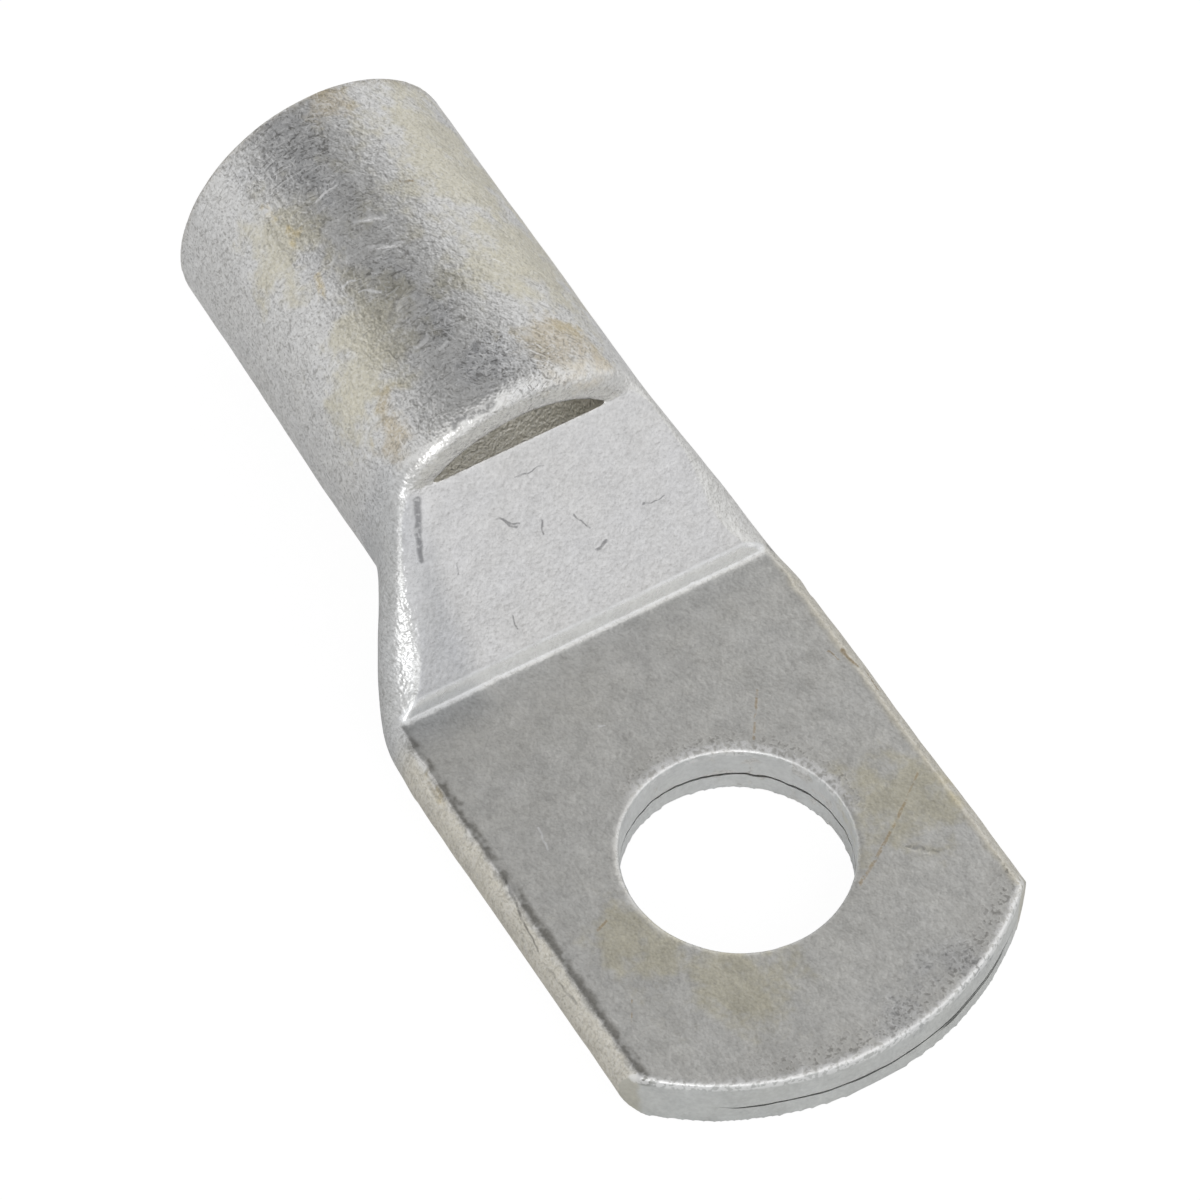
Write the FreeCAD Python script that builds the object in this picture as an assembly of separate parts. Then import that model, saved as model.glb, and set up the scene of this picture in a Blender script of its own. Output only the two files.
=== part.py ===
import FreeCAD, Part
import math
import os

# Cable lug for a heavy stranded conductor: one piece of copper tube, tin plated. One end stays
# round as the barrel. The other end is pressed flat into a palm with a stud hole. Between them
# the tube flares, and its upper wall comes down as a sloping panel. The panel is sheared free of
# the barrel along a crescent slit, which shows whether the conductor is home.
#
# Frame: the origin is on the stud hole's axis, in the plane of the underside. +X runs from the
# hole to the barrel's mouth, +Z rises out of the palm and Y runs across. All in millimetres.

# Palm, with the two tube walls pressed together
stud_hole_d = 10.5
palm_width = 21.0
palm_thickness = 2.92
lower_wall = 1.1
seam_gap = 0.12
side_inset = 0.78
tip_reach = 11.8
tip_radius = 14.3

# Barrel
barrel_d = 14.4
barrel_wall = 1.4
barrel_lift = 0.05
lip_x = 19.0
mouth_x = 38.7

# Flare and panel
flare_start = 11.3
rise_start = 12.7
bend_x = 13.2
flare_end = 20.0
flare_swell = 0.45
panel_wall = 1.4
step_height = 0.8
step_draft = 0.25
slit_height = 2.15

# Edges
lip_round = 0.8
rim_round = 0.2
mouth_chamfer = 0.2

# Worked out from the sizes above
barrel_r = barrel_d / 2
bore_r = barrel_r - barrel_wall
barrel_z = barrel_lift + barrel_r
seam_top_z = lower_wall + seam_gap
panel_top_z = barrel_z + bore_r - slit_height
step_top_x = bend_x + step_draft
step_top_z = palm_thickness + step_height
panel_rise = (panel_top_z - step_top_z) / (lip_x - step_top_x)
panel_angle = math.atan(panel_rise)
panel_foot_z = panel_top_z - panel_wall / math.cos(panel_angle)
wedge_x = lip_x - (panel_foot_z - seam_top_z) / panel_rise
tip_centre_x = tip_radius - tip_reach
beyond = mouth_x + tip_reach

# Fineness of the flare, and how closely points and seams have to meet
flare_pitches = 10
outline_points = 20
seam_match = 0.0005
close = 0.001


def ease(x, start, end):
    """Rises from 0 at start to 1 at end, level at both ends."""
    part = min(max((x - start) / (end - start), 0.0), 1.0)
    return part * part * (3 - 2 * part)


def tube_outline(x, inset):
    """Ellipse across the tube at x, set in by inset. It turns from the palm's into a circle."""
    palm_half = palm_width / 2
    crease = (palm_half - side_inset) / palm_half
    palm_half_height = palm_thickness / 2 / math.sqrt(1 - crease ** 2)
    along = min(max((x - flare_start) / (flare_end - flare_start), 0.0), 1.0)
    swell = flare_swell * math.sin(math.pi * along) ** 2
    lift = ease(x, rise_start, flare_end)
    half_width = palm_half + (barrel_r - palm_half) * ease(x, flare_start, flare_end) + swell - inset
    half_height = palm_half_height + (barrel_r - palm_half_height) * lift - inset
    centre_z = palm_thickness / 2 + (barrel_z - palm_thickness / 2) * lift

    points = []
    for i in range(outline_points):
        turn = 2 * math.pi * i / outline_points
        y = half_width * math.cos(turn)
        z = centre_z + half_height * math.sin(turn)
        points.append(FreeCAD.Vector(x, y, z))
    knots = [i / outline_points for i in range(outline_points + 1)]
    curve = Part.BSplineCurve()
    curve.interpolate(Points=points, PeriodicFlag=True, Parameters=knots)
    return Part.Wire(curve.toShape())


def tube_envelope(inset):
    """The tube's whole form before pressing: flat at one end, flared, and round at the other."""
    pitch = (flare_end - flare_start) / flare_pitches
    places = [flare_start + pitch * i for i in range(-1, flare_pitches + 2)]
    outlines = [tube_outline(x, inset) for x in places]
    flare = Part.makeLoft(outlines, True)
    palm = Part.Face(outlines[0]).extrude(FreeCAD.Vector(-beyond, 0, 0))
    barrel_foot = FreeCAD.Vector(places[-1], 0, barrel_z)
    barrel = Part.makeCylinder(barrel_r - inset, beyond, barrel_foot, FreeCAD.Vector(1, 0, 0))
    return palm.fuse([flare, barrel], seam_match)


def block(x_from, x_to, z_from, z_to):
    """Box wider than the lug."""
    corner = FreeCAD.Vector(x_from, -beyond, z_from)
    return Part.makeBox(x_to - x_from, 2 * beyond, z_to - z_from, corner)


def profile_across(points):
    """Solid with the given outline in XZ, wider than the lug."""
    corners = [FreeCAD.Vector(x, -beyond, z) for x, z in points]
    face = Part.Face(Part.makePolygon(corners + corners[:1]))
    return face.extrude(FreeCAD.Vector(0, 2 * beyond, 0))


def edges_where(shape, holds):
    """Edges of a shape whose points all meet a condition."""
    found = []
    for edge in shape.Edges:
        first, last = edge.ParameterRange
        points = [edge.valueAt(first + (last - first) * i / 4) for i in range(5)]
        if all(holds(point) for point in points):
            found.append(edge)
    return found


def pressed_away():
    """Space over the palm, the step at the bend and the panel, up to the barrel's lip."""
    return profile_across([
        (-beyond, palm_thickness),
        (bend_x, palm_thickness),
        (step_top_x, step_top_z),
        (lip_x, panel_top_z),
        (lip_x, beyond),
        (-beyond, beyond),
    ])


def hollow():
    """Space inside the tube: the seam in the palm, the wedge below the panel and the bore."""
    room = profile_across([
        (-beyond, lower_wall),
        (2 * beyond, lower_wall),
        (2 * beyond, beyond),
        (lip_x, beyond),
        (lip_x, panel_foot_z),
        (wedge_x, seam_top_z),
        (-beyond, seam_top_z),
    ])
    return tube_envelope(barrel_wall).common(room)


def tip_scrap():
    """What is trimmed off outside the arc at the palm's end."""
    kept = Part.makeCylinder(tip_radius, 2 * beyond, FreeCAD.Vector(tip_centre_x, 0, -beyond))
    return block(-2 * beyond, tip_centre_x, -beyond, beyond).cut(kept)


def pressed_tube():
    """The lug with all its edges still sharp."""
    flat_bottomed = tube_envelope(0.0).common(block(-beyond, mouth_x, 0, beyond))
    stud_hole = Part.makeCylinder(stud_hole_d / 2, 2 * beyond, FreeCAD.Vector(0, 0, -beyond))
    return flat_bottomed.cut([pressed_away(), hollow(), tip_scrap(), stud_hole]).Solids[0]


def on_lip(point):
    """Whether a point is on the lip's outer edge."""
    from_axis = math.hypot(point.y, point.z - barrel_z)
    return abs(point.x - lip_x) < close and from_axis > bore_r + barrel_wall / 2


def on_palm_edge(point):
    """Whether a point is on an upper edge of the palm, at the stud hole or the tip."""
    if abs(point.z - palm_thickness) > close:
        return False
    on_hole = abs(math.hypot(point.x, point.y) - stud_hole_d / 2) < close
    on_tip = abs(math.hypot(point.x - tip_centre_x, point.y) - tip_radius) < close
    return on_hole or on_tip


def on_mouth(point):
    """Whether a point is on the face of the mouth."""
    return abs(point.x - mouth_x) < close


def lug_body():
    """The whole lug with its edges rounded."""
    lug = pressed_tube()
    lug = lug.makeFillet(lip_round, edges_where(lug, on_lip))
    lug = lug.makeFillet(rim_round, edges_where(lug, on_palm_edge))
    return lug.makeChamfer(mouth_chamfer, edges_where(lug, on_mouth)).Solids[0]


def main():
    """Writes the lug as one solid."""
    os.makedirs("parts", exist_ok=True)
    lug = lug_body()
    lug.exportStep("parts/lug_body.step")
    print("lug_body: %d faces, %.1f mm3, valid %s" % (len(lug.Faces), lug.Volume, lug.isValid()))
    print("bends %.1f degrees at the panel" % math.degrees(panel_angle))


main()
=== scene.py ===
# %% [markdown]
# # A crimp cable lug in tinned copper
# The lug is one piece of copper tube. One end is left round for the cable, the other is pressed flat
# and has a hole for a stud. The solid model gives its exact size and its straight, clean form. This
# script gives it the rest: rounded creases, dents from the press and the tumbling drum, the seam
# between the two pressed walls, and the stained, scratched skin of tin.

import math

import bmesh
import bpy
import numpy as np
from mathutils import Matrix, Vector, noise
from mathutils.bvhtree import BVHTree


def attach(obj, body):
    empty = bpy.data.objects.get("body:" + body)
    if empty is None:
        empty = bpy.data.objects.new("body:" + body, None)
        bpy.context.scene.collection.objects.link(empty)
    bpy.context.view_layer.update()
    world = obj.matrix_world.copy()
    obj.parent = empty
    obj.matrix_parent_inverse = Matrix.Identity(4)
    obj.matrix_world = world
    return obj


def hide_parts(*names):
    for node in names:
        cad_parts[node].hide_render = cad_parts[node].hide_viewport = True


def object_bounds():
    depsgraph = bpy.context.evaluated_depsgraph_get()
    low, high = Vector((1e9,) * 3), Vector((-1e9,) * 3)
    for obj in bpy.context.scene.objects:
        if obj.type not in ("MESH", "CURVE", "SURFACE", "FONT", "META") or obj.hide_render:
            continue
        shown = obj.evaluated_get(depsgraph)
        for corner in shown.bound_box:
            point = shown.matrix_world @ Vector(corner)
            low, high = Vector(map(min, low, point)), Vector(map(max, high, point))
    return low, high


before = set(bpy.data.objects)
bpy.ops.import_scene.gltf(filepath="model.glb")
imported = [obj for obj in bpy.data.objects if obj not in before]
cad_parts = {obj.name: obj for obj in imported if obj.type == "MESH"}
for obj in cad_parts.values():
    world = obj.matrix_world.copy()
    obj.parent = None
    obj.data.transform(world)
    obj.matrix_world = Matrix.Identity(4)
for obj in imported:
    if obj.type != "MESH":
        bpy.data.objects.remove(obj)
cad_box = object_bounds()
cad_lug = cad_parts["lug_body"]
MM = 0.001
print("solid model, corners in mm:", [[round(v / MM, 2) for v in corner] for corner in cad_box])

# %% [markdown]
# ## Camera
# The picture is taken from above the palm's left corner with a long lens, so the lug hardly narrows
# with distance. The place, the turn and the lens come from fitting the lug's known outline to the
# picture, which is better than turning the camera by eye: a few degrees change which faces show.

# %% Camera
target = Vector((16.433, -2.719, 0.0)) * MM
camera_place = Vector((-138.834, 91.887, 255.741)) * MM
camera_roll = math.radians(0.854)
lens_length, sensor_width = 206.63, 36.0

camera_data = bpy.data.cameras.new("studio_camera")
camera_data.sensor_width = sensor_width
camera_data.lens = lens_length
camera_data.clip_start = 0.01
camera_data.clip_end = 10.0
camera = bpy.data.objects.new("studio_camera", camera_data)
camera.location = camera_place
camera.rotation_mode = "QUATERNION"
aim = (target - camera_place).to_track_quat("-Z", "Y")
camera_turn = aim @ Matrix.Rotation(camera_roll, 4, "Z").to_quaternion()
camera.rotation_quaternion = camera_turn
bpy.context.scene.collection.objects.link(camera)
bpy.context.scene.camera = camera
print("camera is %.0f mm from the lug" % ((target - camera_place).length / MM))

# %% [markdown]
# ## Finding a mark's place on the metal
# Dents, scratches and stains were found in the picture, so it is natural to note each by its pixel.
# A ray from the camera through that pixel meets the solid at the mark's real place. From then on the
# mark is a point on the metal, and it stays there when the lug is seen from another side.

# %% From a pixel to a point on the lug
picture_width = 1200
panel_middle_pixel = (585, 560)
focal_pixels = lens_length / sensor_width * picture_width
solid = BVHTree.FromObject(cad_lug, bpy.context.evaluated_depsgraph_get())

def place_seen_at(column, row):
    """The point of the solid, in millimetres, that the picture shows at a pixel."""
    half = picture_width / 2
    ray = camera_turn @ Vector(((column - half) / focal_pixels, (half - row) / focal_pixels, -1))
    place = solid.ray_cast(camera_place, ray.normalized())[0]
    if place is None:
        raise ValueError("no metal at pixel %d, %d" % (column, row))
    return tuple(place / MM)

print("middle of the panel is at", [round(v, 1) for v in place_seen_at(*panel_middle_pixel)])

# %% [markdown]
# ## A skin that can be worked like metal
# The solid model has a few long, thin triangles and knife-sharp creases. Pressed copper has neither:
# its creases are rolled over, and its faces are full of small dents. To shape those, the surface needs
# small, even faces. They could be modelled by hand on a subdivision surface, but the form is already
# there, so its mesh is copied, welded, and remeshed on a fine grid. Work goes on in millimetres.

# %% Copy and weld the solid's mesh
def welded_copy(mesh):
    """The mesh in millimetres as a bmesh, with the vertices that were split for shading joined again."""
    work = bmesh.new()
    work.from_mesh(mesh)
    bmesh.ops.scale(work, vec=(1 / MM, 1 / MM, 1 / MM), verts=work.verts)
    bmesh.ops.remove_doubles(work, verts=work.verts, dist=0.0005)
    return work

skin_work = welded_copy(cad_lug.data)
open_edges = sum(not edge.is_manifold for edge in skin_work.edges)
print("welded: %d faces, %d open edges" % (len(skin_work.faces), open_edges))

# %% [markdown]
# ## Closing the seam for now
# The two pressed walls leave a seam of a tenth of a millimetre, finer than the grid. A thin ring of
# filler closes it before the remesh, and the seam is cut again at the end with a fine blade.

# %% Filler ring between the walls
hole_r = 5.25
tip_centre_x, tip_r = 2.5, 14.3
bend_x = 13.2
seam_half_width = 9.0
filler_bottom, filler_top = 1.0, 1.32
skin_depth = 0.04

def palm_reach(turn):
    """How far from the hole's axis the filler goes, in the direction of turn."""
    along, across = math.cos(turn), math.sin(turn)
    middle = along * tip_centre_x
    reach = [middle + math.sqrt(middle ** 2 - tip_centre_x ** 2 + (tip_r - skin_depth) ** 2)]
    if abs(across) > 0.1:
        reach.append(seam_half_width / abs(across))
    if along > 0.1:
        reach.append(bend_x / along)
    return min(reach)

def add_ring(work, inner, outer, low, high, steps=240):
    """A closed ring about the hole's axis. Its four sizes are functions of the turn."""
    corners = []
    for reach, height in ((inner, low), (inner, high), (outer, high), (outer, low)):
        row = []
        for i in range(steps):
            turn = 2 * math.pi * i / steps
            point = (reach(turn) * math.cos(turn), reach(turn) * math.sin(turn), height(turn))
            row.append(work.verts.new(point))
        corners.append(row)
    for first, second in zip(corners, corners[1:] + corners[:1]):
        for i in range(steps):
            j = (i + 1) % steps
            work.faces.new((first[i], second[i], second[j], first[j]))

add_ring(skin_work, lambda turn: hole_r + skin_depth, palm_reach,
         lambda turn: filler_bottom, lambda turn: filler_top)
print("filler reaches %.2f mm towards the barrel" % palm_reach(0.0))

# %% [markdown]
# ## Even faces
# A modifier does its work on an object, so the mesh is hung on a holder for a moment, the result is
# read off, and the holder is thrown away.

# %% Remesh on a fine grid
grid = 0.13

def with_modifier(mesh, kind, **settings):
    """A new mesh: the old one, which is deleted, with one modifier worked into it."""
    holder = bpy.data.objects.new("holder", mesh)
    bpy.context.scene.collection.objects.link(holder)
    step = holder.modifiers.new(kind, kind)
    for name, value in settings.items():
        setattr(step, name, value)
    worked = bpy.data.meshes.new_from_object(holder.evaluated_get(bpy.context.evaluated_depsgraph_get()))
    bpy.data.objects.remove(holder)
    bpy.data.meshes.remove(mesh)
    return worked

def as_mesh(work, name):
    """A closed bmesh as a mesh with its faces turned outwards."""
    bmesh.ops.recalc_face_normals(work, faces=work.faces)
    mesh = bpy.data.meshes.new(name)
    work.to_mesh(mesh)
    work.free()
    return mesh

skin = with_modifier(as_mesh(skin_work, "skin"), "REMESH", mode="VOXEL", voxel_size=grid, adaptivity=0.0)
print("remeshed: %d vertices, %d quads" % (len(skin.vertices), len(skin.polygons)))

# %% [markdown]
# ## Rubbing the surface
# A hand sculptor would use the smooth brush. In code the same brush is one line: each vertex moves
# towards the mean of its neighbours. Done with care over the whole skin, it takes the grid's small
# steps out. Done hard along one path, it rounds a crease over.

# %% Reading, writing and relaxing points
def read_points(mesh):
    """The vertices' places, one row for each."""
    points = np.empty(len(mesh.vertices) * 3, np.float32)
    mesh.vertices.foreach_get("co", points)
    return points.reshape(-1, 3).astype(float)

def write_points(mesh, points):
    """Puts the vertices in these places."""
    mesh.vertices.foreach_set("co", points.astype(np.float32).ravel())
    mesh.update()

def read_edges(mesh):
    """The numbers of the two vertices of each edge."""
    ends = np.empty(len(mesh.edges) * 2, np.int32)
    mesh.edges.foreach_get("vertices", ends)
    return ends.reshape(-1, 2)

def neighbour_mean(points, ends):
    """For each vertex, the mean place of the vertices next to it."""
    a, b = ends.T
    n = len(points)
    count = np.bincount(a, minlength=n) + np.bincount(b, minlength=n)
    total = [np.bincount(a, axis[b], n) + np.bincount(b, axis[a], n) for axis in points.T]
    return np.array(total).T / count[:, None]

def settle(points, ends, rounds):
    """Smooths small steps without shrinking: each pull inwards is followed by a push back out."""
    for _ in range(rounds):
        for share in (0.5, -0.53):
            points = points + share * (neighbour_mean(points, ends) - points)
    return points

points, ends = read_points(skin), read_edges(skin)
points = settle(points, ends, 3)
print("settled, corners in mm:", points.min(0).round(2), points.max(0).round(2))

# %% Rubbing along a path
def ease(value):
    """Rises smoothly from 0 to 1 as the value does."""
    value = np.clip(value, 0, 1)
    return value * value * (3 - 2 * value)

def path_distance(points, path):
    """How far each point is from a path of straight runs, and how far along the path that is, 0 to 1."""
    path = np.array(path, float)
    gap, along = np.full(len(points), np.inf), np.zeros(len(points))
    for i, (start, end) in enumerate(zip(path[:-1], path[1:])):
        run = end - start
        share = np.clip((points - start) @ run / (run @ run), 0, 1)
        here = np.linalg.norm(points - start - share[:, None] * run, axis=1)
        nearer = here < gap
        gap[nearer] = here[nearer]
        along[nearer] = (i + share[nearer]) / (len(path) - 1)
    return gap, along

def rub(points, path, reach_from, reach_to, rounds):
    """Rubs the skin round along a path, most on the path and not at all past its reach."""
    gap, along = path_distance(points, path)
    weight = ease(1 - gap / (reach_from + (reach_to - reach_from) * along))
    near = (weight[ends] > 0).any(axis=1)
    used, local = np.unique(ends[near], return_inverse=True)
    local = local.reshape(-1, 2)
    part, share = points[used], 0.5 * weight[used][:, None]
    for _ in range(rounds):
        part = part + share * (neighbour_mean(part, local) - part)
    points = points.copy()
    points[used] = part
    return points

# %% [markdown]
# ## Creases of the press
# The panel was pushed down by a punch, and the tube's wall rolled over the punch's edges. At the top
# the wall was still round and the crease is wide. At the bottom it was squeezed flat and the crease is
# tight. Beyond the sight slit the lip runs into the crease with no edge at all, but the slit itself was
# sheared and ends in sharp tips. So the rubbing follows each crease and stays away from the tips.

# %% Where the creases run
lip_x, panel_top_z = 19.0, 10.9
step_top_x, step_top_z = 13.45, 3.72
palm_top_z = 2.92

def on_panel(x, y):
    """The point of the panel's plane over x and y."""
    rise = (panel_top_z - step_top_z) / (lip_x - step_top_x)
    return (x, y, step_top_z + (x - step_top_x) * rise)

left_crease = [on_panel(19.0, 5.0), on_panel(17.2, 6.3), on_panel(15.4, 7.6), on_panel(13.2, 9.6)]
right_crease = [on_panel(19.0, -4.8), on_panel(17.2, -6.1), on_panel(15.1, -7.9), on_panel(13.2, -9.6)]
left_lip_root = [(lip_x, 5.0, panel_top_z), (lip_x, 6.3, panel_top_z)]
right_lip_root = [(lip_x, -5.0, panel_top_z), (lip_x, -6.3, panel_top_z)]
step_top = [(step_top_x, 9.6, step_top_z), (step_top_x, -9.6, step_top_z)]
step_foot = [(bend_x, 9.8, palm_top_z), (bend_x, -9.8, palm_top_z)]

creases = [
    (left_crease, 1.5, 0.5, 90), (right_crease, 1.0, 0.45, 50),
    (left_lip_root, 0.5, 0.9, 40), (right_lip_root, 0.45, 0.8, 30),
    (step_top, 0.2, 0.2, 4), (step_foot, 0.2, 0.2, 4),
]

# %% Rub them, but not at the slit's tips
slit_half_width, slit_tip_z = 4.4, panel_top_z + 0.2
kept_sharp, fully_rubbed = 0.5, 1.1

slit_tips = [(lip_x, slit_half_width, slit_tip_z), (lip_x, -slit_half_width, slit_tip_z)]
nearest_tip = np.min([np.linalg.norm(points - tip, axis=1) for tip in slit_tips], axis=0)
away_from_tips = ease((nearest_tip - kept_sharp) / (fully_rubbed - kept_sharp))
for path, reach_from, reach_to, rounds in creases:
    rubbed = rub(points, path, reach_from, reach_to, rounds)
    points = points + (rubbed - points) * away_from_tips[:, None]
print("rubbed", len(creases), "creases")

# %% [markdown]
# ## How it came out of the press
# The real lug is a little out of true. The barrel leans to the right, its mouth was sawn a little
# skew, and the left side was pressed in a little at the mouth, the palm and the bend. Each is under
# half a millimetre, but an outline that is perfectly straight looks drawn. A formula moves every point
# a little and keeps the skin whole, where moving parts of it by hand would crease it.

# %% Out of true
barrel_lean = math.radians(0.64)
mouth_pressed_in, palm_pressed_in, bend_pinched_in = 0.16, 0.13, 0.14
mouth_skew = 0.3
barrel_r, palm_half_width = 7.2, 10.5

def out_of_true(points):
    """The points, moved as the press and the saw left them."""
    x, y, z = points.T.copy()
    lean = math.tan(barrel_lean) * (x - lip_x) * ease((x - 16) / 6)
    thin_mouth = mouth_pressed_in * np.clip(y / barrel_r, 0, 1) * ease((x - 26) / 9)
    squeezed_palm = palm_pressed_in * np.clip(y / palm_half_width, 0, 1) ** 4 * ease((13 - x) / 3)
    pinch = bend_pinched_in * np.clip((y - 8) / 2, 0, 1) * np.exp(-((x - 12.2) / 1.3) ** 2)
    skew = mouth_skew * np.clip((y + 5) / 12, 0, 1) * ease((x - 34) / 4)
    return np.column_stack([x - skew, y - lean - thin_mouth - squeezed_palm - pinch, z])

points = out_of_true(points)
print("mouth is out of true, corners in mm:", points.min(0).round(2), points.max(0).round(2))

# %% [markdown]
# ## Ripples
# Pressed and tumbled copper is nowhere quite flat, and the eye sees it in how the light runs over it.
# Two sizes of smooth noise move the skin in and out by a few hundredths of a millimetre. This is done
# to the shape and not by bump, so that the outline and the reflections agree.

# %% Ripples over the whole skin
slow_pitch, slow_height = 5.0, 0.022
quick_pitch, quick_height = 1.3, 0.009

def ripple(points, pitch):
    """A smooth random value between about -1 and 1 at each point, which changes over the pitch."""
    return np.array([noise.noise(Vector(point)) for point in (points / pitch).tolist()]) * 2

def outward(points):
    """The skin's normals, once it has these points."""
    write_points(skin, points)
    normals = np.empty(len(points) * 3, np.float32)
    skin.vertex_normals.foreach_get("vector", normals)
    return normals.reshape(-1, 3).astype(float)

swell = slow_height * ripple(points, slow_pitch) + quick_height * ripple(points, quick_pitch)
points = points + outward(points) * swell[:, None]
print("ripples up to %.3f mm" % np.abs(swell).max())

# %% [markdown]
# ## Nicks and gouges
# Lugs are tumbled in a drum and shipped loose in bags, so each one is nicked all over by its
# neighbours. The largest nicks go into the shape, so that light catches their sides. The fine ones
# are left to the material.

# %% Cut the larger nicks
def scrape(points, path, width, depth):
    """Presses a groove along a path, deepest on the path and fading at both ends."""
    gap, along = path_distance(points, path)
    fade = np.clip(4 * np.minimum(along, 1 - along) + 0.25, 0, 1)
    deep = depth * np.exp(-(gap / width) ** 2) * fade
    return points - outward(points) * deep[:, None]

barrel_gouge = [(307, 208), (322, 190), (338, 181)]
barrel_scar = [(391, 316), (396, 298), (406, 289)]
barrel_nick_upper = [(354, 221), (384, 215)]
barrel_nick_lower = [(369, 247), (404, 243)]
barrel_pit_row = [(262, 209), (268, 222), (281, 243), (296, 257)]
edge_pit = [(426, 776), (433, 790), (441, 800)]
palm_dash = [(907, 847), (939, 852)]
bend_kink_left = [(494, 671), (500, 680)]
bend_kink_right = [(688, 577), (693, 585)]
nicks = [
    (barrel_gouge, 0.13, 0.09), (barrel_scar, 0.2, 0.06), (barrel_nick_upper, 0.12, 0.05),
    (barrel_nick_lower, 0.12, 0.05), (barrel_pit_row, 0.2, 0.05), (edge_pit, 0.2, 0.12),
    (palm_dash, 0.12, 0.05), (bend_kink_left, 0.16, 0.08), (bend_kink_right, 0.14, 0.06),
]
for pixels, width, depth in nicks:
    points = scrape(points, [place_seen_at(*pixel) for pixel in pixels], width, depth)
print("cut %d nicks" % len(nicks))

# %% [markdown]
# ## The seam in the palm
# Where the tube's two walls meet, the end face and the hole show a dark line that wanders and opens
# and closes. A line painted on would vanish at a glancing view, so the seam is cut with thin, wavy
# blades: a ring for the hole and two strips for the tip, where the line runs double for a stretch.
# Before the cut the skin is thinned out: flat stretches need few faces, and edges keep theirs.

# %% Thin the skin out
most_faces = 180000

low, high = (np.array(corner) / MM for corner in cad_box)
write_points(skin, np.clip(points, low, high))
triangles = 2 * len(skin.polygons)
skin = with_modifier(skin, "DECIMATE", ratio=most_faces / triangles)
print("thinned out: %d faces" % len(skin.polygons))

# %% How the seam runs
seam_z = 1.13
shut_from, shut_to = 128, 150

def wander(turn, seed, size):
    """A small random height that changes along the seam."""
    return size * noise.noise(Vector((5 * math.cos(turn), 5 * math.sin(turn), seed)))

def seam_middle(turn):
    """The height of the seam's middle."""
    return seam_z + wander(turn, 3.1, 0.12) + wander(3 * turn, 8.4, 0.05)

def gape(turn):
    """Half the seam's opening. It is pressed shut on the left of the tip."""
    degrees = math.degrees(turn)
    shut = ease((degrees - shut_from) / 12) * ease((shut_to - degrees) / 6)
    return 0.014 + (1 - shut) * (0.038 + 0.03 * abs(wander(turn, 1.7, 2)))

def tip_reach(turn):
    """How far the end face is from the hole's axis."""
    middle = math.cos(turn) * tip_centre_x
    return middle + math.sqrt(middle ** 2 - tip_centre_x ** 2 + tip_r ** 2)

print("the seam is %.2f mm wide at the right of the tip" % (2 * gape(math.radians(200))))

# %% Blades for the seam
hole_blade_before, hole_blade_behind = 0.4, 0.7
tip_blade_behind, tip_blade_before = -0.7, 0.4
main_tip_blade = (math.radians(142), math.radians(230), 0.0)
second_tip_blade = (math.radians(196), math.radians(222), -0.16)

def add_tip_blade(work, first_turn, last_turn, lift, steps=120):
    """A thin wavy strip through the tip's end face, between two turns about the hole's axis."""
    behind, before = tip_blade_behind, tip_blade_before
    rows = []
    for i in range(steps + 1):
        turn = first_turn + (last_turn - first_turn) * i / steps
        taper = min(1, 8 * i / steps, 8 * (steps - i) / steps) + 0.02
        half = gape(turn) * taper
        middle = seam_middle(turn) + lift
        row = []
        for reach, height in ((behind, -half), (behind, half), (before, half), (before, -half)):
            far = tip_reach(turn) + reach
            row.append(work.verts.new((far * math.cos(turn), far * math.sin(turn), middle + height)))
        rows.append(row)
    for row, other in zip(rows, rows[1:]):
        for k in range(4):
            work.faces.new((row[k], row[(k + 1) % 4], other[(k + 1) % 4], other[k]))
    work.faces.new(rows[0])
    work.faces.new(rows[-1][::-1])

blade_work = bmesh.new()
add_ring(blade_work, lambda turn: hole_r - hole_blade_before, lambda turn: hole_r + hole_blade_behind,
         lambda turn: seam_middle(turn) - gape(turn), lambda turn: seam_middle(turn) + gape(turn))
add_tip_blade(blade_work, *main_tip_blade)
add_tip_blade(blade_work, *second_tip_blade)
blade = bpy.data.objects.new("blade", as_mesh(blade_work, "blade"))
bpy.context.scene.collection.objects.link(blade)
skin = with_modifier(skin, "BOOLEAN", operation="DIFFERENCE", solver="MANIFOLD", object=blade)
bpy.data.objects.remove(blade)
print("with its seam: %d faces" % len(skin.polygons))

# %% [markdown]
# ## The finished piece
# The skin goes back to metres and rides on the lug's body in place of the solid. Its faces are shaded
# smooth, except across edges that turn sharply: those are the rims, the step and the slit, and smooth
# shading across them would look like rubber.

# %% Put the skin in place
sharp_from = math.radians(50)

def triangulated(mesh):
    """Cuts the mesh's faces into triangles, and counts the edges that are left open."""
    work = bmesh.new()
    work.from_mesh(mesh)
    bmesh.ops.triangulate(work, faces=work.faces)
    open_edges = sum(not edge.is_manifold for edge in work.edges)
    work.to_mesh(mesh)
    work.free()
    return open_edges

print("open edges:", triangulated(skin))
write_points(skin, read_points(skin) * MM)
skin.polygons.foreach_set("use_smooth", [True] * len(skin.polygons))
skin.set_sharp_from_angle(angle=sharp_from)
lug = bpy.data.objects.new("lug_skin", skin)
bpy.context.scene.collection.objects.link(lug)
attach(lug, "root")
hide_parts("lug_body")
print("lug_skin: %d triangles" % len(skin.polygons))

# %% [markdown]
# ## Building materials with short words
# A node tree made in code soon turns into pages of links. A few small helpers keep it readable. One
# puts a node in place with its inputs, and each of the others is a plain word for one common use of
# it: a sum, some noise, or a mask. One thing is easy to miss. Cycles works through the nodes in the
# order in which they were made, so each node here is made after the nodes that feed it. A long tree
# made the other way round holds more values at once than Cycles has room for, and renders black.

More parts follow.
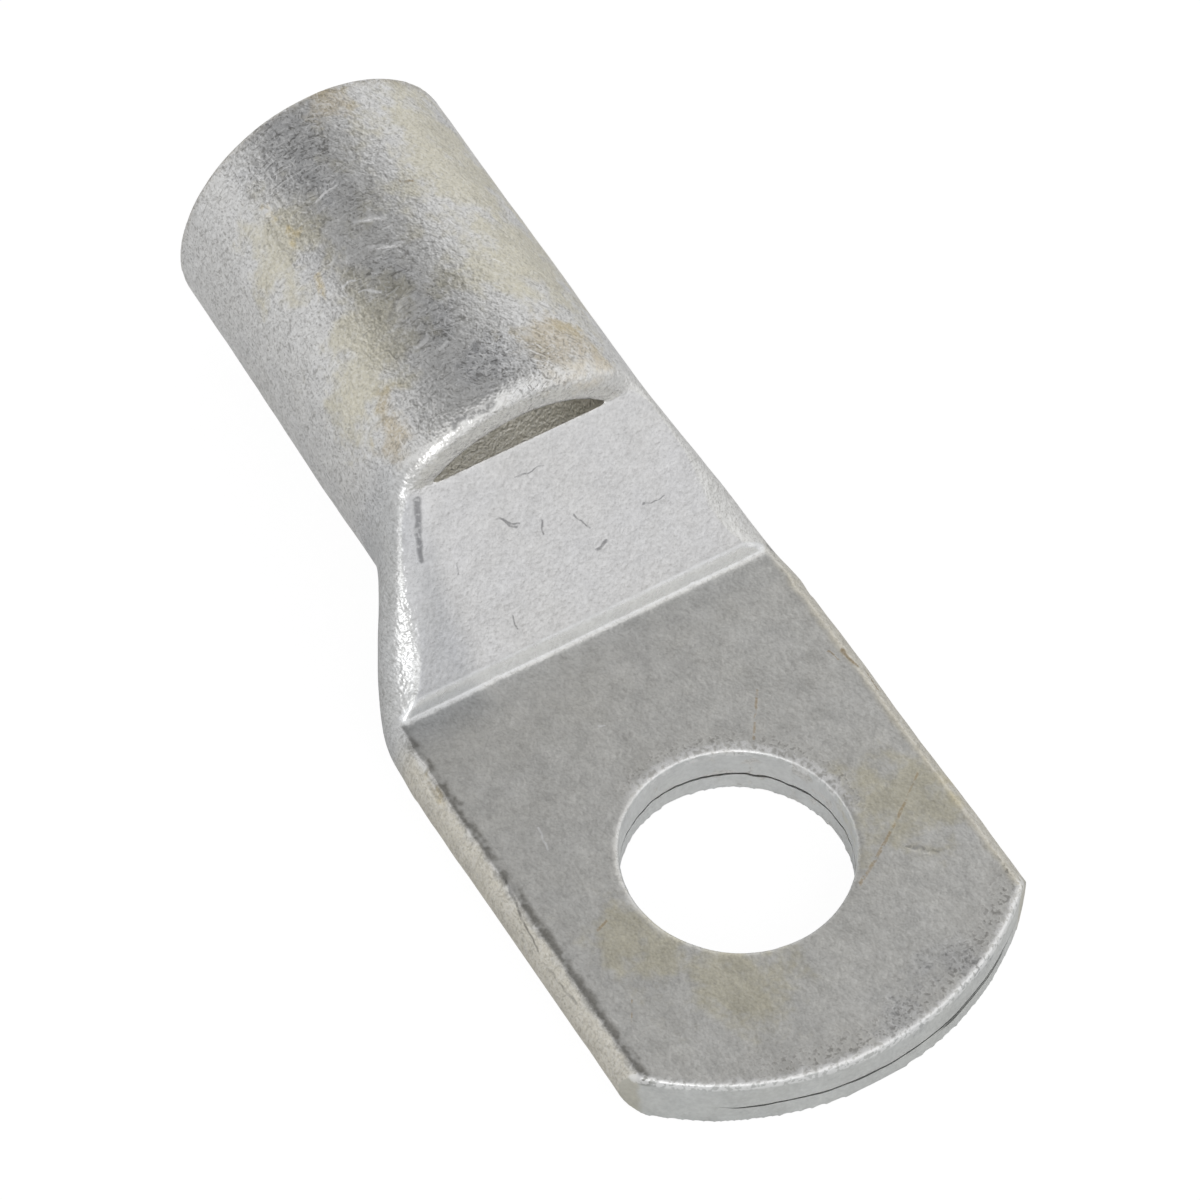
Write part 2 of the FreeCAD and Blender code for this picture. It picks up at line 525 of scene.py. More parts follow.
# %% Node helpers
def put(tree, kind, inputs=(), **settings):
    """A new node. An input that is a socket is linked, and any other value is written in."""
    made = tree.nodes.new(kind)
    for name, value in settings.items():
        setattr(made, name, value)
    for name, value in dict(inputs).items():
        if isinstance(value, bpy.types.NodeSocket):
            tree.links.new(value, made.inputs[name])
        else:
            made.inputs[name].default_value = value
    return made

def calc(tree, operation, *values):
    """The result of a Math node."""
    return put(tree, "ShaderNodeMath", enumerate(values), operation=operation).outputs[0]

def plus(tree, start, value, factor):
    """The start plus a value times a factor."""
    return calc(tree, "ADD", start, calc(tree, "MULTIPLY", value, factor))

def vector_calc(tree, operation, *values):
    """The vector that a Vector Math node gives."""
    return put(tree, "ShaderNodeVectorMath", enumerate(values), operation=operation).outputs["Vector"]

def vector_measure(tree, operation, *values):
    """The number that a Vector Math node gives, such as a length or a dot product."""
    return put(tree, "ShaderNodeVectorMath", enumerate(values), operation=operation).outputs["Value"]

def scaled(tree, vector, factor):
    """A vector times a number."""
    inputs = {0: vector, "Scale": factor}
    return put(tree, "ShaderNodeVectorMath", inputs, operation="SCALE").outputs["Vector"]

def noise_value(tree, place, scale, detail, roughness=0.5):
    """The value of a Noise texture. A larger scale makes it finer, and detail adds finer layers."""
    inputs = {"Vector": place, "Scale": scale, "Detail": detail, "Roughness": roughness}
    return put(tree, "ShaderNodeTexNoise", inputs).outputs["Fac"]

# %% Mask helpers
def span(tree, value, start, end):
    """A mask that is 0 at start and 1 at end, with soft ends. Start may be the larger one."""
    inputs = {"Value": value, "From Min": start, "From Max": end}
    made = put(tree, "ShaderNodeMapRange", inputs, interpolation_type="SMOOTHSTEP", clamp=False)
    return made.outputs["Result"]

def any_of(tree, *masks):
    """The strongest of some masks."""
    most = masks[0]
    for mask in masks[1:]:
        most = calc(tree, "MAXIMUM", most, mask)
    return most

def all_of(tree, *masks):
    """A mask of where some masks meet: their product."""
    product = masks[0]
    for mask in masks[1:]:
        product = calc(tree, "MULTIPLY", product, mask)
    return product

def stripe(tree, value, start, full_from, full_to, end):
    """A mask that rises from start to full_from, and falls again from full_to to end."""
    return all_of(tree, span(tree, value, start, full_from), span(tree, value, end, full_to))

# %% Group helpers
def new_group(name, output, **inputs):
    """An empty node group with one float output. Each input is given with its kind."""
    group = bpy.data.node_groups.new(name, "ShaderNodeTree")
    for socket, kind in inputs.items():
        group.interface.new_socket(socket, in_out="INPUT", socket_type="NodeSocket" + kind)
    group.interface.new_socket(output, in_out="OUTPUT", socket_type="NodeSocketFloat")
    return group, group.nodes.new("NodeGroupInput").outputs, group.nodes.new("NodeGroupOutput").inputs

def use_group(tree, group, **inputs):
    """The output of a node group, placed with these inputs."""
    return put(tree, "ShaderNodeGroup", inputs.items(), node_tree=group).outputs[0]

# %% [markdown]
# ## Fibres
# Hot-tinned copper that has been tumbled shows short, fine marks in every direction, like felt. Plain
# noise looks like sand instead. Where places are squeezed together along one direction before the
# noise is looked up, the noise comes out stretched along it, as short fibres. One group does this for
# any direction, so that the felt and the longer nicks can both be made from it.

# %% Group: fibres along a direction
fibres, given, result = new_group("fibres", "Value", Place="Vector", Direction="Vector",
                                  Width="Float", Length="Float")
along = vector_measure(fibres, "DOT_PRODUCT", given["Place"], given["Direction"])
share_taken = calc(fibres, "SUBTRACT", 1.0, calc(fibres, "DIVIDE", given["Width"], given["Length"]))
taken = calc(fibres, "MULTIPLY", along, share_taken)
pull = scaled(fibres, given["Direction"], taken)
squeezed_place = vector_calc(fibres, "SUBTRACT", given["Place"], pull)
fineness = calc(fibres, "DIVIDE", 1.0, given["Width"])
fibres.links.new(noise_value(fibres, squeezed_place, fineness, 0.0), result["Value"])
print("fibres:", len(fibres.nodes), "nodes")

# %% [markdown]
# ## Strokes and stains
# A scratch on the real lug is a short line and a stain is a patch with a ragged edge. They could be
# painted on an image, but that needs an unwrapped skin and blurs close up. Here each is worked out
# from the distance to a line or to a point in space, so it stays sharp at any size.

# %% Group: a stroke between two points
stroke, given, result = new_group("stroke", "Mask", Place="Vector", Start="Vector", End="Vector",
                                  Width="Float")
run = vector_calc(stroke, "SUBTRACT", given["End"], given["Start"])
reach = vector_calc(stroke, "SUBTRACT", given["Place"], given["Start"])
done = vector_measure(stroke, "DOT_PRODUCT", reach, run)
whole = vector_measure(stroke, "DOT_PRODUCT", run, run)
share = put(stroke, "ShaderNodeClamp", {"Value": calc(stroke, "DIVIDE", done, whole)}).outputs[0]
nearest = scaled(stroke, run, share)
gap = vector_measure(stroke, "DISTANCE", reach, nearest)
core = calc(stroke, "MULTIPLY", given["Width"], 0.25)
stroke.links.new(span(stroke, gap, given["Width"], core), result["Mask"])
print("stroke:", len(stroke.nodes), "nodes")

# %% Group: a stain with a ragged edge
stain, given, result = new_group("stain", "Mask", Place="Vector", Centre="Vector",
                                 Radius="Float", Wash="Float")
away = vector_measure(stain, "DISTANCE", given["Place"], given["Centre"])
share = calc(stain, "DIVIDE", away, given["Radius"])
ragged = calc(stain, "ADD", share, given["Wash"])
stain.links.new(span(stain, ragged, 1.15, 0.2), result["Mask"])
print("stain:", len(stain.nodes), "nodes")

# %% [markdown]
# ## Where the picture shows marks
# The larger marks are listed by pixel, because the eye knows a real lug by its few plain scars. A
# stroke has two ends and a width at which it has faded out. A stain has a middle and a radius. Widths
# and radii are in millimetres.

# %% Dark marks by pixel
# Dark cores inside the bright bands of the left crease and the lip root.
crease_dark_cores = [
    ((417, 500), (419, 532), 0.26), ((419, 536), (421, 562), 0.2), ((455, 424), (492, 404), 0.26),
]
barrel_dark_nicks = [
    ((302, 211), (318, 196), 0.1), ((389, 316), (397, 297), 0.2), ((304, 205), (322, 193), 0.09),
    ((360, 226), (362, 240), 0.09), ((393, 274), (406, 268), 0.08), ((393, 275), (393, 285), 0.08),
    ((398, 297), (406, 288), 0.09), ((393, 309), (394, 313), 0.24), ((385, 350), (396, 356), 0.09),
    ((474, 345), (476, 352), 0.26), ((290, 170), (300, 178), 0.12),
]
panel_dark_nicks = [
    ((456, 566), (458, 576), 0.07), ((517, 478), (541, 466), 0.06), ((500, 517), (517, 527), 0.08),
    ((541, 521), (544, 532), 0.07), ((643, 503), (664, 496), 0.06), ((513, 616), (517, 630), 0.07),
    ((596, 552), (606, 541), 0.12), ((574, 515), (590, 527), 0.08), ((768, 546), (772, 550), 0.25),
    ((514, 478), (543, 466), 0.06), ((502, 518), (519, 524), 0.08), ((542, 522), (543, 530), 0.08),
]
palm_dark_lines = [
    ((907, 847), (939, 852), 0.14), ((540, 960), (575, 1006), 0.16), ((506, 878), (540, 960), 0.1),
]
dark_strokes = crease_dark_cores + barrel_dark_nicks + panel_dark_nicks + palm_dark_lines
print("dark strokes:", len(dark_strokes))

# %% Light, brown and golden marks by pixel
barrel_light_nicks = [
    ((311, 202), (337, 183), 0.13), ((355, 221), (385, 217), 0.18), ((368, 248), (404, 243), 0.15),
    ((383, 229), (392, 226), 0.11), ((304, 286), (319, 276), 0.13), ((325, 268), (336, 257), 0.14),
    ((342, 285), (355, 278), 0.11), ((359, 291), (381, 290), 0.11), ((414, 348), (427, 340), 0.14),
    ((440, 347), (447, 341), 0.13), ((282, 339), (285, 327), 0.14), ((309, 257), (316, 251), 0.13),
    ((484, 257), (515, 270), 0.08),
]
palm_light_nicks = [((599, 727), (605, 724), 0.11), ((538, 829), (548, 849), 0.08)]
light_strokes = barrel_light_nicks + palm_light_nicks

palm_brown_scratches = [
    ((842, 650), (858, 668), 0.14), ((866, 672), (878, 690), 0.12), ((828, 652), (838, 660), 0.1),
    ((598, 930), (606, 922), 0.12), ((632, 1000), (632, 1022), 0.06), ((918, 772), (905, 803), 0.09),
    ((905, 803), (880, 852), 0.12), ((880, 852), (860, 884), 0.14), ((757, 690), (754, 738), 0.1),
]
edge_pit_dirt = [((427, 777), (434, 792), 0.16), ((434, 792), (441, 800), 0.16)]
barrel_pit_dirt = [
    ((277, 234), (286, 247), 0.2), ((262, 209), (266, 214), 0.14), ((291, 254), (297, 261), 0.14),
    ((400, 181), (412, 182), 0.13), ((319, 281), (325, 292), 0.1),
]
brown_strokes = palm_brown_scratches + edge_pit_dirt + barrel_pit_dirt
gold_strokes = [
    ((262, 208), (296, 232), 0.42), ((290, 240), (298, 262), 0.3), ((316, 276), (322, 300), 0.3),
    ((425, 772), (443, 806), 0.3),
]
print("other strokes:", len(light_strokes), "light,", len(brown_strokes), "brown,",
      len(gold_strokes), "golden")

# %% Stains by pixel
beige_stains = [
    ((452, 165), 5.5), ((525, 255), 5.0), ((420, 120), 3.2), ((285, 245), 3.0), ((372, 330), 3.2),
    ((355, 395), 2.4), ((735, 985), 2.8), ((900, 800), 3.0), ((635, 935), 2.4),
]
ochre_stains = [
    ((562, 345), 2.2), ((550, 330), 1.5), ((396, 446), 1.3), ((384, 405), 0.8), ((390, 425), 0.8),
    ((330, 105), 1.2), ((598, 365), 1.0),
]
# Partly painted reflection: the dark stains that run along the barrel's top paint its dark band, which is
# the ceiling's reflection; the others are stains.
dark_stains_and_band_reflection = [
    ((542, 371), 1.7), ((292, 158), 2.8), ((330, 195), 2.0), ((392, 275), 1.9), ((440, 322), 2.2),
    ((490, 356), 1.8), ((955, 960), 1.6), ((900, 1010), 1.5),
]
print("stains:", len(beige_stains + ochre_stains + dark_stains_and_band_reflection))

# %% [markdown]
# ## Tinned copper
# Tin is a soft, pale metal, and here it is so finely scuffed that it reflects light as a wide blur.
# Each scuff then shows as a lighter or darker speck and not as a small mirror image. So most of the
# look is made as colour, and less of it as roughness and height. It starts with knowing where on the
# lug a point is. A second, shaky place bends every straight line that is drawn with it a little.

# %% Place and direction
tin = bpy.data.materials.new("tinned_copper")
tin.use_nodes = True
tree = tin.node_tree
bsdf = tree.nodes["Principled BSDF"]

metres = put(tree, "ShaderNodeTexCoord").outputs["Object"]
place = scaled(tree, metres, 1 / MM)
bend_noise = noise_value(tree, place, 1.4, 1.0)
shake_size = calc(tree, "MULTIPLY", calc(tree, "SUBTRACT", bend_noise, 0.5), 0.5)
shaky_place = vector_calc(tree, "ADD", place, scaled(tree, (1, -0.8, 0.6), shake_size))
shaky_x, shaky_y, _ = put(tree, "ShaderNodeSeparateXYZ", {0: shaky_place}).outputs
true_x, true_y, true_z = put(tree, "ShaderNodeSeparateXYZ", {0: place}).outputs
facing = put(tree, "ShaderNodeNewGeometry").outputs["Normal"]

def facing_mask(direction, start, end):
    """A mask of the faces that look in a direction, from the cosines at which it starts and is full."""
    turned = vector_measure(tree, "DOT_PRODUCT", facing, Vector(direction).normalized())
    return span(tree, turned, start, end)

print("place and direction:", len(tree.nodes), "nodes")

# %% Faces of the lug
barrel_axis_z, bore_r, mouth_x = 7.25, 5.8, 38.7
palm_flat_y = 9.7

up_facing = facing_mask((0, 0, 1), 0.9, 0.98)
panel_facing = facing_mask((-0.79, 0, 0.61), 0.93, 0.99)
on_palm = all_of(tree, up_facing, span(tree, true_x, bend_x + 0.2, bend_x),
                 span(tree, true_z, palm_top_z - 0.32, palm_top_z - 0.12))
on_panel_face = all_of(tree, panel_facing, span(tree, true_x, bend_x + 0.2, bend_x + 0.4),
                       span(tree, true_x, lip_x + 0.1, lip_x - 0.1))
on_barrel = span(tree, true_x, lip_x + 0.2, lip_x + 1.5)
flat_place = put(tree, "ShaderNodeCombineXYZ", {0: shaky_x, 1: shaky_y}).outputs[0]
from_hole = vector_measure(tree, "LENGTH", flat_place)
from_tip_centre = vector_measure(tree, "DISTANCE", flat_place, (tip_centre_x, 0, 0))
print("with its faces found:", len(tree.nodes), "nodes")

# %% [markdown]
# ## Felt, nicks and clouds
# The fine felt comes from five directions of fibres, of which the strongest wins at each point: light
# where it is a ridge and dark where it is a hollow. Three directions of longer fibres give the nicks.
# Above these are clouds of plain noise in four sizes, because dirt and wear gather in patches.

# %% Felt of fibres
felt_directions = [
    (1, 0.35, 0.1), (0.25, 1, 0.15), (-0.75, 0.65, 0.35), (0.5, 0.75, -0.6), (0.15, -0.55, 0.85),
]
nick_directions = [(0.8, 0.55, 0.3), (0.1, 0.95, -0.3), (-0.6, 0.25, 0.8)]
nick_width, nick_length = 0.12, 0.9

def fibres_along(where, direction, width, length):
    """Fibres of a width and a length, in millimetres, along a direction."""
    return use_group(tree, fibres, Place=where, Direction=Vector(direction).normalized(),
                     Width=width, Length=length)

def highest_and_lowest(values):
    """The largest and the smallest of some values at each point."""
    peak, valley = values[0], values[0]
    for value in values[1:]:
        peak = calc(tree, "MAXIMUM", peak, value)
        valley = calc(tree, "MINIMUM", valley, value)
    return peak, valley

felt = []
for i, direction in enumerate(felt_directions):
    width = 0.085 + 0.014 * i
    felt.append(fibres_along(place, direction, width, 6 * width))
peak, valley = highest_and_lowest(felt)
light_fibres = span(tree, peak, 0.66, 0.78)
dark_fibres = span(tree, valley, 0.34, 0.22)

nicks_each_way = [
    fibres_along(shaky_place, direction, nick_width, nick_length) for direction in nick_directions
]
nick_peak, nick_valley = highest_and_lowest(nicks_each_way)
light_nicks = span(tree, nick_peak, 0.68, 0.74)
dark_nicks = span(tree, nick_valley, 0.32, 0.26)
print("felt of", len(felt), "directions, nicks of", len(nicks_each_way))

# %% Clouds of noise
fine = noise_value(tree, place, 4.2, 1.0, 0.7)
cloud = noise_value(tree, place, 0.35, 3.0, 0.6)
patches = noise_value(tree, place, 1.1, 2.0, 0.65)
wash = noise_value(tree, place, 0.6, 3.0, 0.66)
ragged_wash = calc(tree, "MULTIPLY", calc(tree, "SUBTRACT", wash, 0.5), 3.4)
broken = span(tree, fine, 0.34, 0.5)
speck = span(tree, fine, 0.48, 0.68)
print("with its clouds:", len(tree.nodes), "nodes")

# %% [markdown]
# ## Marks in their places
# Each mark of the lists becomes one stroke or stain. It is joined to those before it as soon as it is
# made, so that only one running value has to be kept. Dirt sits in the low spots of the grain, so the
# dark and brown strokes are broken up by the fine noise.

# %% Strokes and stains
def strokes_mask(marks):
    """One mask for a list of strokes."""
    most = 0.0
    for start, end, width in marks:
        mask = use_group(tree, stroke, Place=shaky_place, Start=place_seen_at(*start),
                         End=place_seen_at(*end), Width=width)
        most = calc(tree, "MAXIMUM", most, mask)
    return most

def stains_mask(marks):
    """One mask for a list of stains."""
    most = 0.0
    for middle, radius in marks:
        mask = use_group(tree, stain, Place=place, Centre=place_seen_at(*middle), Radius=radius,
                         Wash=ragged_wash)
        most = calc(tree, "MAXIMUM", most, mask)
    return most

dark_marks = all_of(tree, strokes_mask(dark_strokes), plus(tree, 0.4, broken, 0.6))
brown_marks = all_of(tree, strokes_mask(brown_strokes), broken)
light_marks = strokes_mask(light_strokes)
gold_marks = all_of(tree, strokes_mask(gold_strokes), span(tree, patches, 0.4, 0.6))
beige = stains_mask(beige_stains)
ochre = stains_mask(ochre_stains)
dark_stains_and_painted_reflection = stains_mask(dark_stains_and_band_reflection)
print("with its marks:", len(tree.nodes), "nodes")

# %% [markdown]
# ## Worn and dirty edges
# The punch left a sheared, cooler wall in the hole and at the tip. Their rims are rubbed bright in
# places, and dirt has gathered beside them, at the hole mostly on the side that is far in the picture.
# A general edge wear effect would treat all edges alike, so each edge gets its own mask from how far
# it is from the hole's axis, the tip's centre or the palm's side.

# %% Rims, walls and edge dirt
far_direction = (0.83, -0.55, 0)

far_side = span(tree, vector_measure(tree, "DOT_PRODUCT", flat_place, far_direction), 1.5, 3.5)
rim_height = span(tree, true_z, palm_top_z - 0.52, palm_top_z - 0.32)
hole_rim = all_of(tree, stripe(tree, from_hole, hole_r - 0.05, hole_r + 0.05, hole_r + 0.35, hole_r + 0.7),
                  rim_height, far_side)
hole_dirt = all_of(tree, span(tree, from_hole, hole_r + 1.65, hole_r + 0.55), on_palm, far_side)
hole_wall = span(tree, from_hole, hole_r + 0.1, hole_r + 0.05)
tip_face = span(tree, from_tip_centre, tip_r - 0.25, tip_r - 0.2)
pressed_wall = all_of(tree, any_of(tree, hole_wall, tip_face),
                      span(tree, true_z, palm_top_z - 0.02, palm_top_z - 0.12),
                      span(tree, true_x, hole_r + 0.75, hole_r + 0.35))
tip_rim = all_of(tree, span(tree, from_tip_centre, tip_r - 0.5, tip_r - 0.2),
                 span(tree, shaky_x, -0.5, -1.5), rim_height)
tip_dirt = all_of(tree, span(tree, from_tip_centre, tip_r - 2.0, tip_r - 0.8), on_palm,
                  span(tree, shaky_y, 7.5, 3.5), span(tree, shaky_x, 0.0, -2.0))
rim_light = all_of(tree, any_of(tree, hole_rim, tip_rim), span(tree, fine, 0.4, 0.5))
edge_dirt = all_of(tree, any_of(tree, hole_dirt, tip_dirt), speck)
print("with its rims:", len(tree.nodes), "nodes")

# %% Lines along the palm's sides
left_line = all_of(tree, stripe(tree, shaky_y, palm_flat_y - 0.55, palm_flat_y - 0.25,
                                palm_flat_y - 0.1, palm_flat_y + 0.2),
                   span(tree, true_x, 13.0, 12.0), span(tree, true_z, 2.3, 2.6))
left_band = all_of(tree, span(tree, shaky_y, palm_flat_y - 0.1, palm_flat_y + 0.2),
                   span(tree, shaky_x, 13.5, 11.0))
right_band = all_of(tree, span(tree, shaky_y, 0.4 - palm_flat_y, -palm_flat_y),
                    span(tree, shaky_x, 15.0, 11.0))
side_bands = any_of(tree, left_band, right_band)
print("with its side lines:", len(tree.nodes), "nodes")

# %% [markdown]
# ## Burnished places
# The press slid over the creases, the step and the lip, and left them smoother and brighter than the
# rest. Here they are smoother, and their brightness is a painted highlight, added with the colour. They
# follow the paths that were rubbed round before, so the same points are used again.

# %% Burnished places, the bare inside and painted shade under the bend
def along_crease(crease, width):
    """A mask along a whole crease."""
    return use_group(tree, stroke, Place=shaky_place, Start=crease[0], End=crease[-1], Width=width)

crease_left = along_crease(left_crease, 0.85)
crease_right = along_crease(right_crease, 0.5)
bend_face = all_of(tree, stripe(tree, true_x, bend_x - 0.1, bend_x, bend_x + 0.3, bend_x + 0.4),
                   span(tree, true_z, palm_top_z + 0.03, palm_top_z + 0.18))
lip_band = all_of(tree, stripe(tree, true_x, lip_x - 0.3, lip_x, lip_x + 0.6, lip_x + 1.1),
                  span(tree, true_z, 10.0, 11.0))
burnished = any_of(tree, crease_left, all_of(tree, crease_right, patches), bend_face, lip_band)

above_axis = calc(tree, "SUBTRACT", true_z, barrel_axis_z)
across_barrel = put(tree, "ShaderNodeCombineXYZ", {0: true_y, 1: above_axis}).outputs[0]
from_axis = vector_measure(tree, "LENGTH", across_barrel)
inside = all_of(tree, span(tree, true_x, lip_x, lip_x + 0.2),
                span(tree, from_axis, bore_r + 0.65, bore_r + 0.5))
# Painted shade: the palm darkens towards the foot of the step, as in the corner that the panel half hides
# from the room.
painted_shade_under_bend = all_of(tree, on_palm, span(tree, true_x, bend_x - 2.4, bend_x))
print("with its burnished places:", len(tree.nodes), "nodes")

# %% [markdown]
# ## Colour
# Real stains are thin films that take light away, so each is a tint that multiplies the colour under
# it. Painted shade is made the same way: a darker left flare, the palm under the bend, the panel's tint
# and part of the dark stains on the barrel's band. Only the bright scratches, where fresh metal shows,
# and the painted highlights on the creases, the lip and the step are mixed in over everything else.
# Each face also has a slight tint of its own.

# %% Clean tin, cloud by cloud and face by face
def blended(colour, mask, other, way="MIX"):
    """A colour with another one blended in where the mask is."""
    inputs = {0: mask, 6: colour, 7: other}
    return put(tree, "ShaderNodeMix", inputs, data_type="RGBA", blend_type=way).outputs[2]

def tinted(colour, mask, tint, strength):
    """The colour multiplied by a tint where the mask is, at the given strength."""
    factor = calc(tree, "MULTIPLY", mask, strength)
    return blended(colour, factor, (*tint, 1), "MULTIPLY")

clean_tin = (0.8, 0.802, 0.8, 1)
shade = plus(tree, 0.7, calc(tree, "ADD", fine, patches), 0.28)
tip_wall = all_of(tree, pressed_wall, span(tree, from_hole, hole_r + 0.25, hole_r + 0.75))
base = blended(clean_tin, 1.0, shade, "MULTIPLY")
for mask, tint, strength in (
        (cloud, (0.96, 0.945, 0.9), 0.9),
        (on_palm, (1.0, 0.995, 0.98), 1.0),
        # Painted shade: the panel is tinted darker and cooler, while the palm is left nearly as it is, to
        # balance how the two faces catch the light.
        (on_panel_face, (0.895, 0.895, 0.92), 1.0),
        (on_barrel, (0.94, 0.942, 0.955), 1.0),
        (pressed_wall, (0.965, 0.985, 1.0), 1.0),
        (tip_wall, (0.88, 0.88, 0.87), 1.0),
        # Painted highlight: the step is tinted cool here and mixed towards white further on, so it shows
        # as a bright bluish strip.
        (bend_face, (0.95, 0.97, 1.0), 1.0)):
    base = tinted(base, mask, tint, strength)
print("with its clean tin:", len(tree.nodes), "nodes")

# %% Stains, painted shade and painted reflection over it
# Painted shade: the flare left of the panel, beside the left crease, is darkened and cooled where the
# lights leave it too bright.
flare_left_painted_shade = all_of(tree, span(tree, true_y, 4.8, 6.2), span(tree, true_x, lip_x + 3.0, lip_x + 0.5),
                    span(tree, true_x, bend_x - 2.2, bend_x - 0.2))
for mask, tint, strength in (
        (beige, (0.97, 0.935, 0.8), 0.95),
        (ochre, (0.9, 0.8, 0.62), 0.7),
        (side_bands, (0.88, 0.84, 0.74), 0.8),
        # Partly painted reflection: the dark band along the barrel's top; elsewhere, dark stains.
        (dark_stains_and_painted_reflection, (0.75, 0.765, 0.81), 0.42),
        (flare_left_painted_shade, (0.77, 0.785, 0.81), 0.8),
        (painted_shade_under_bend, (0.9, 0.91, 0.93), 0.7)):
    base = tinted(base, mask, tint, strength)
print("with its stains:", len(tree.nodes), "nodes")

# %% Grain, nicks and dirt
calm_faces = all_of(tree, any_of(tree, on_palm, on_panel_face), 0.5)
less_grain = any_of(tree, pressed_wall, calm_faces, all_of(tree, beige, 0.4))
grain = calc(tree, "SUBTRACT", 1.0, less_grain)
nick_strength = plus(tree, 0.35, calc(tree, "MAXIMUM", dark_stains_and_painted_reflection, on_barrel), 0.4)
nick_strength = plus(tree, nick_strength, dark_stains_and_painted_reflection, 0.5)
cloud_specks = all_of(tree, span(tree, fine, 0.42, 0.34), dark_stains_and_painted_reflection)
mouth_dirt = all_of(tree, span(tree, true_x, mouth_x - 0.9, mouth_x - 0.2), broken)
# A dark, broken line along the crease at the palm's left side.
palm_side_dark_line = all_of(tree, left_line, span(tree, patches, 0.35, 0.5))
for mask, tint, strength in (
        (all_of(tree, dark_fibres, grain), (0.6, 0.59, 0.57), 0.42),
        (all_of(tree, dark_nicks, nick_strength, grain), (0.45, 0.44, 0.43), 0.65),
        (cloud_specks, (0.5, 0.5, 0.51), 0.5),
        (edge_dirt, (0.38, 0.375, 0.37), 0.9),
        (mouth_dirt, (0.72, 0.68, 0.6), 0.7),
        (palm_side_dark_line, (0.4, 0.39, 0.37), 0.85),
        (gold_marks, (1.0, 0.86, 0.55), 0.7),
        (brown_marks, (0.5, 0.4, 0.27), 0.8),
        (dark_marks, (0.42, 0.42, 0.43), 0.8)):
    base = tinted(base, mask, tint, strength)
base = blended(base, inside, (0.88, 0.86, 0.8, 1))
print("with its dirt:", len(tree.nodes), "nodes")

# %% Fresh metal in scratches and on rubbed edges, and painted highlights
# Painted highlight: a bright, broken band along the left crease and the lip, where the soft box catches
# them.
crease_and_lip_painted_highlight = all_of(tree, any_of(tree, crease_left, lip_band), span(tree, peak, 0.5, 0.62))
hole_wall_light = all_of(tree, pressed_wall, span(tree, from_hole, hole_r + 0.35, hole_r + 0.15))
# Fresh metal from the grain, the nicks, the rims and the scratches, with painted highlights on the step,
# the left crease and the lip, all mixed towards white.
fresh_metal_and_painted_highlights = any_of(
    tree,
    all_of(tree, light_fibres, grain, 0.2),
    all_of(tree, light_nicks, nick_strength, grain, 0.5),
    # Painted highlight on the step.
    all_of(tree, bend_face, 0.45),
    all_of(tree, crease_and_lip_painted_highlight, 0.15),
    all_of(tree, rim_light, 0.6),
    all_of(tree, light_marks, 0.85),
    all_of(tree, hole_wall_light, 0.16))
fresh_metal_and_painted_highlights = all_of(tree, fresh_metal_and_painted_highlights, calc(tree, "SUBTRACT", 1.0, dark_marks))
base = blended(base, fresh_metal_and_painted_highlights, (1, 1, 1, 1))
tree.links.new(base, bsdf.inputs["Base Color"])
print("with its colour:", len(tree.nodes), "nodes")

# %% [markdown]
# ## Roughness, metal and height
# Where the metal is burnished it is smoother. Dirt is rough and is no metal, so it takes both down.
# The height is one fine noise, calmer on the palm that the press flattened and at the step, where a
# lively bump would break the straight bright line.

# %% Roughness, metal and height
rough = plus(tree, 0.36, patches, 0.16)
rough = plus(tree, rough, burnished, -0.16)
dirt = any_of(tree, brown_marks, dark_marks, edge_dirt, calc(tree, "MULTIPLY", ochre, 0.5))
rough = plus(tree, rough, dirt, 0.25)
tree.links.new(rough, bsdf.inputs["Roughness"])
tree.links.new(plus(tree, 1.0, dirt, -0.5), bsdf.inputs["Metallic"])

bump_height, step_middle_x = 0.05, 13.35
off_palm = span(tree, true_x, 12.5, 14.0)
height = all_of(tree, fine, plus(tree, 0.4, off_palm, 0.6), bump_height)
from_step = calc(tree, "ABSOLUTE", calc(tree, "SUBTRACT", true_x, step_middle_x))
height = calc(tree, "MULTIPLY", height, plus(tree, 0.2, span(tree, from_step, 0.1, 0.4), 0.8))
relief = put(tree, "ShaderNodeBump", {"Height": height, "Distance": MM, "Strength": 1.0})
tree.links.new(relief.outputs[0], bsdf.inputs["Normal"])
skin.materials.clear()
skin.materials.append(tin)
print("tinned copper:", len(tree.nodes), "nodes")

# %% [markdown]
# ## Floor
# The floor is plain white paper. To the camera it mostly glows at about strength 1, so that the
# backdrop is white without more light on the lug, and it keeps a little of the lug's soft shadow. It
# lies a hair below the lug, so that the two never fight for the same pixels.

# %% Floor
floor_reach = 1.5
floor_z = -0.03 * MM
glow_strength, glow_share = 1.09, 0.85

corners = [(-floor_reach, -floor_reach, floor_z), (floor_reach, -floor_reach, floor_z),
           (floor_reach, floor_reach, floor_z), (-floor_reach, floor_reach, floor_z)]
floor_mesh = bpy.data.meshes.new("floor")
floor_mesh.from_pydata(corners, [], [(0, 1, 2, 3)])
floor = bpy.data.objects.new("floor", floor_mesh)
bpy.context.scene.collection.objects.link(floor)

